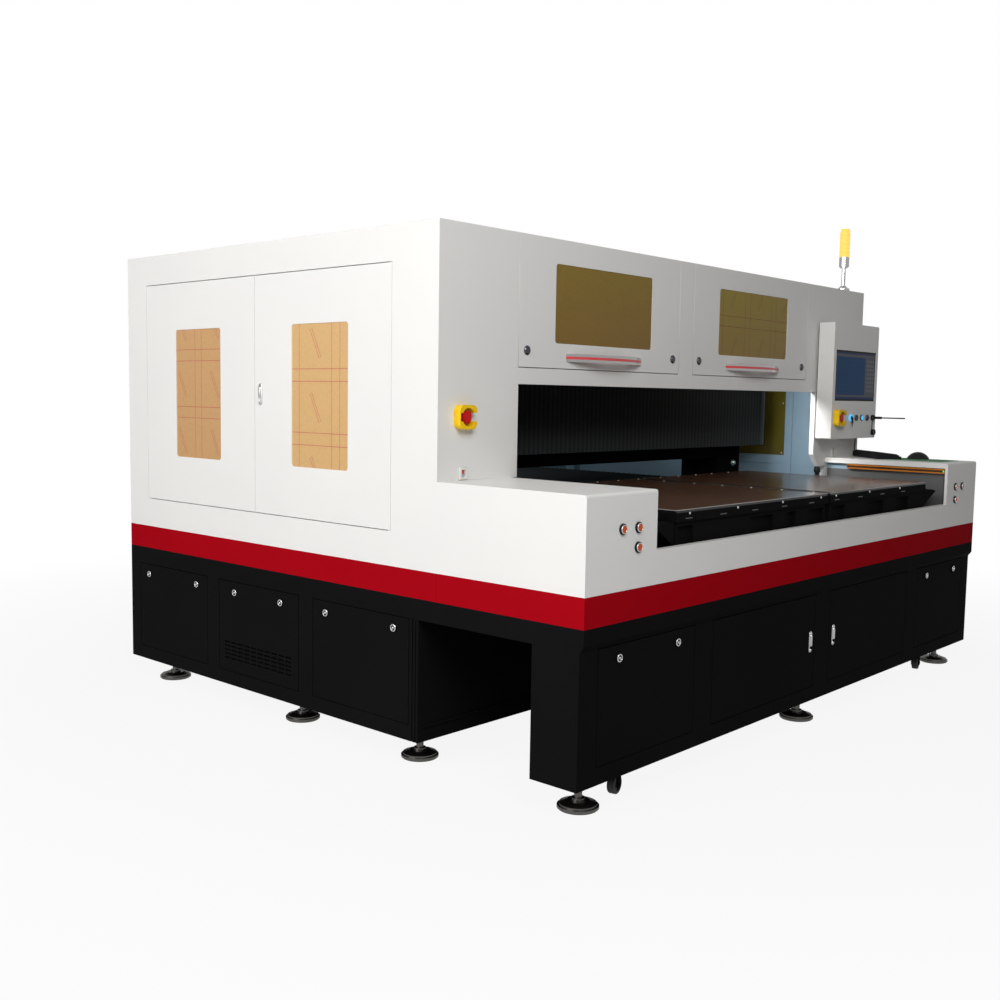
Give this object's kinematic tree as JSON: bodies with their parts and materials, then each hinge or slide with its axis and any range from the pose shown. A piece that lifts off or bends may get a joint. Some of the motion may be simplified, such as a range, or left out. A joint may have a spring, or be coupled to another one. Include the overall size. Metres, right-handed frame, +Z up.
{
  "type": "glass laser cutting machine",
  "caption": "Floor-standing cutting machine in a tall white housing: a portal with a moving laser head, two tables that run in under it, lift-up windows, side doors and a hinged-door base.",
  "frame": {"origin": "on the floor, below the middle of the machine's width and depth", "axes": "+X to the operator's right along the long front, +Y towards the rear wall, +Z up"},
  "size_m": [2.8907, 2.368, 2],
  "materials": {
    "white_coat": "fine powder coat, satin",
    "red_coat": "powder coat, satin",
    "black_coat": "powder coat, satin, fine orange peel",
    "inner_coat": "blue-grey powder coat",
    "polished_metal": "polished plate",
    "brushed": "brushed",
    "grey_casting": "dark grey machine paint",
    "brown_board": "glossy phenolic board",
    "masked_pane": "laser-safety pane under its protective film",
    "kraft_pane": "laser-safety pane under kraft masking paper",
    "screen": "touch screen, lit",
    "yellow_plastic": "yellow plastic",
    "red_plastic": "red plastic",
    "amber_lens": "ribbed amber lens",
    "black_plastic": "moulded black plastic",
    "pleats": "coated bellows cloth",
    "lit_ring": "metal push button with a lit face",
    "dark_button": "dark blue button",
    "blue_button": "lit blue button",
    "wheel_grey": "solid rubber wheel",
    "source_coat": "light grey instrument coat"
  },
  "bodies": {
    "machine": {"base_frame": "black_coat", "rear_cabinet": "black_coat", "service_covers": "black_coat", "cover_locks": "polished_metal", "levelling_feet": "brushed", "red_band": "red_coat", "front_cover": "white_coat", "enclosure_liner": "inner_coat", "enclosure_skin": "white_coat", "front_header": "white_coat", "right_side_windows": "masked_pane", "console_box": "white_coat", "touch_screen": "screen", "estop_guards": "yellow_plastic", "stack_light_pole": "polished_metal", "stack_light_lens": "amber_lens", "cross_beam": "black_coat", "laser_source": "source_coat", "table_bed": "grey_casting", "keyboard_and_mouse": "black_plastic", "keyboard_lead": "black_plastic", "panel_aerial": "black_plastic", "light_curtains": "yellow_plastic", "left_beam_bellows": "pleats", "right_beam_bellows": "pleats", "left_table_bellows": "pleats", "right_table_bellows": "pleats"},
    "left_table": {"left_table": "black_coat", "left_board": "brown_board"},
    "right_table": {"right_table": "black_coat", "right_board": "brown_board"},
    "head_carriage": {"head_carriage": "grey_casting"},
    "laser_head": {"laser_head": "brushed"},
    "left_front_door": {"left_front_door": "white_coat", "left_front_window": "masked_pane", "left_front_handle": "polished_metal"},
    "right_front_door": {"right_front_door": "white_coat", "right_front_window": "masked_pane", "right_front_handle": "polished_metal"},
    "side_door_front": {"side_door_front": "white_coat", "side_window_front": "kraft_pane"},
    "side_door_rear": {"side_door_rear": "white_coat", "side_window_rear": "kraft_pane"},
    "base_door_left": {"base_door_left": "black_coat"},
    "base_door_right": {"base_door_right": "black_coat"},
    "left_estop": {"left_estop": "red_plastic"},
    "console_estop": {"console_estop": "red_plastic"},
    "left_button_inner": {"left_button_inner": "lit_ring"},
    "left_button_outer": {"left_button_outer": "lit_ring"},
    "left_button_lower": {"left_button_lower": "lit_ring"},
    "right_button_inner": {"right_button_inner": "lit_ring"},
    "right_button_outer": {"right_button_outer": "lit_ring"},
    "right_button_lower": {"right_button_lower": "lit_ring"},
    "key_switch": {"key_switch": "polished_metal"},
    "console_button_dark": {"console_button_dark": "dark_button"},
    "console_button_blue": {"console_button_blue": "blue_button"},
    "left_rocker": {"left_rocker": "red_plastic"},
    "right_rocker": {"right_rocker": "red_plastic"},
    "caster_wheel_left": {"caster_wheel_left": "wheel_grey"},
    "caster_wheel_right": {"caster_wheel_right": "wheel_grey"}
  },
  "joints": [
    {"name": "left_table_travel", "type": "slide", "parent": "machine", "child": "left_table", "axis": [0, 1, 0], "range_m": [0, 0.95], "deforming": ["left_table_bellows"]},
    {"name": "right_table_travel", "type": "slide", "parent": "machine", "child": "right_table", "axis": [0, 1, 0], "range_m": [0, 0.95], "deforming": ["right_table_bellows"]},
    {"name": "carriage_travel", "type": "slide", "parent": "machine", "child": "head_carriage", "axis": [1, 0, 0], "range_m": [0, 1.7], "deforming": ["left_beam_bellows", "right_beam_bellows"]},
    {"name": "head_focus", "type": "slide", "parent": "head_carriage", "child": "laser_head", "axis": [0, 0, 1], "range_m": [-0.035, 0]},
    {"name": "left_front_door_lift", "type": "hinge", "parent": "machine", "child": "left_front_door", "pos_m": [-0.614, -0.599, 1.699], "axis": [-1, 0, 0], "range_deg": [0, 85]},
    {"name": "right_front_door_lift", "type": "hinge", "parent": "machine", "child": "right_front_door", "pos_m": [0.414, -0.599, 1.699], "axis": [-1, 0, 0], "range_deg": [0, 85]},
    {"name": "side_door_front_swing", "type": "hinge", "parent": "machine", "child": "side_door_front", "pos_m": [-1.434, -0.388, 1.177], "axis": [0, 0, 1], "range_deg": [0, 110]},
    {"name": "side_door_rear_swing", "type": "hinge", "parent": "machine", "child": "side_door_rear", "pos_m": [-1.434, 1.031, 1.177], "axis": [0, 0, -1], "range_deg": [0, 110]},
    {"name": "base_door_left_swing", "type": "hinge", "parent": "machine", "child": "base_door_left", "pos_m": [-0.743, -1.16, 0.318], "axis": [0, 0, -1], "range_deg": [0, 110]},
    {"name": "base_door_right_swing", "type": "hinge", "parent": "machine", "child": "base_door_right", "pos_m": [0.743, -1.16, 0.318], "axis": [0, 0, 1], "range_deg": [0, 110]},
    {"name": "left_estop_press", "type": "slide", "parent": "machine", "child": "left_estop", "axis": [0, 1, 0], "range_m": [0, 0.005], "stiffness_N_per_m": 1500, "springref_m": -0.003},
    {"name": "console_estop_press", "type": "slide", "parent": "machine", "child": "console_estop", "axis": [0, 1, 0], "range_m": [0, 0.005], "stiffness_N_per_m": 1500, "springref_m": -0.003},
    {"name": "left_button_inner_press", "type": "slide", "parent": "machine", "child": "left_button_inner", "axis": [0, 1, 0], "range_m": [0, 0.003], "stiffness_N_per_m": 800, "springref_m": -0.002},
    {"name": "left_button_outer_press", "type": "slide", "parent": "machine", "child": "left_button_outer", "axis": [0, 1, 0], "range_m": [0, 0.003], "stiffness_N_per_m": 800, "springref_m": -0.002},
    {"name": "left_button_lower_press", "type": "slide", "parent": "machine", "child": "left_button_lower", "axis": [0, 1, 0], "range_m": [0, 0.003], "stiffness_N_per_m": 800, "springref_m": -0.002},
    {"name": "right_button_inner_press", "type": "slide", "parent": "machine", "child": "right_button_inner", "axis": [0, 1, 0], "range_m": [0, 0.003], "stiffness_N_per_m": 800, "springref_m": -0.002},
    {"name": "right_button_outer_press", "type": "slide", "parent": "machine", "child": "right_button_outer", "axis": [0, 1, 0], "range_m": [0, 0.003], "stiffness_N_per_m": 800, "springref_m": -0.002},
    {"name": "right_button_lower_press", "type": "slide", "parent": "machine", "child": "right_button_lower", "axis": [0, 1, 0], "range_m": [0, 0.003], "stiffness_N_per_m": 800, "springref_m": -0.002},
    {"name": "console_button_dark_press", "type": "slide", "parent": "machine", "child": "console_button_dark", "axis": [0, 1, 0], "range_m": [0, 0.003], "stiffness_N_per_m": 800, "springref_m": -0.002},
    {"name": "console_button_blue_press", "type": "slide", "parent": "machine", "child": "console_button_blue", "axis": [0, 1, 0], "range_m": [0, 0.003], "stiffness_N_per_m": 800, "springref_m": -0.002},
    {"name": "key_turn", "type": "hinge", "parent": "machine", "child": "key_switch", "pos_m": [1.163, -0.7, 1.112], "axis": [0, 1, 0], "range_deg": [0, 90]},
    {"name": "left_rocker_tip", "type": "hinge", "parent": "machine", "child": "left_rocker", "pos_m": [-1.329, -0.601, 0.948], "axis": [1, 0, 0], "range_deg": [0, 20]},
    {"name": "right_rocker_tip", "type": "hinge", "parent": "machine", "child": "right_rocker", "pos_m": [1.179, -0.601, 0.948], "axis": [1, 0, 0], "range_deg": [0, 20]},
    {"name": "caster_wheel_left_roll", "type": "hinge", "parent": "machine", "child": "caster_wheel_left", "pos_m": [-1.14943, -1.08241, 0.033], "axis": [-0.2079, 0.9781, 0], "continuous": true},
    {"name": "caster_wheel_right_roll", "type": "hinge", "parent": "machine", "child": "caster_wheel_right", "pos_m": [1.09857, -1.08241, 0.033], "axis": [-0.2079, 0.9781, 0], "continuous": true}
  ]
}
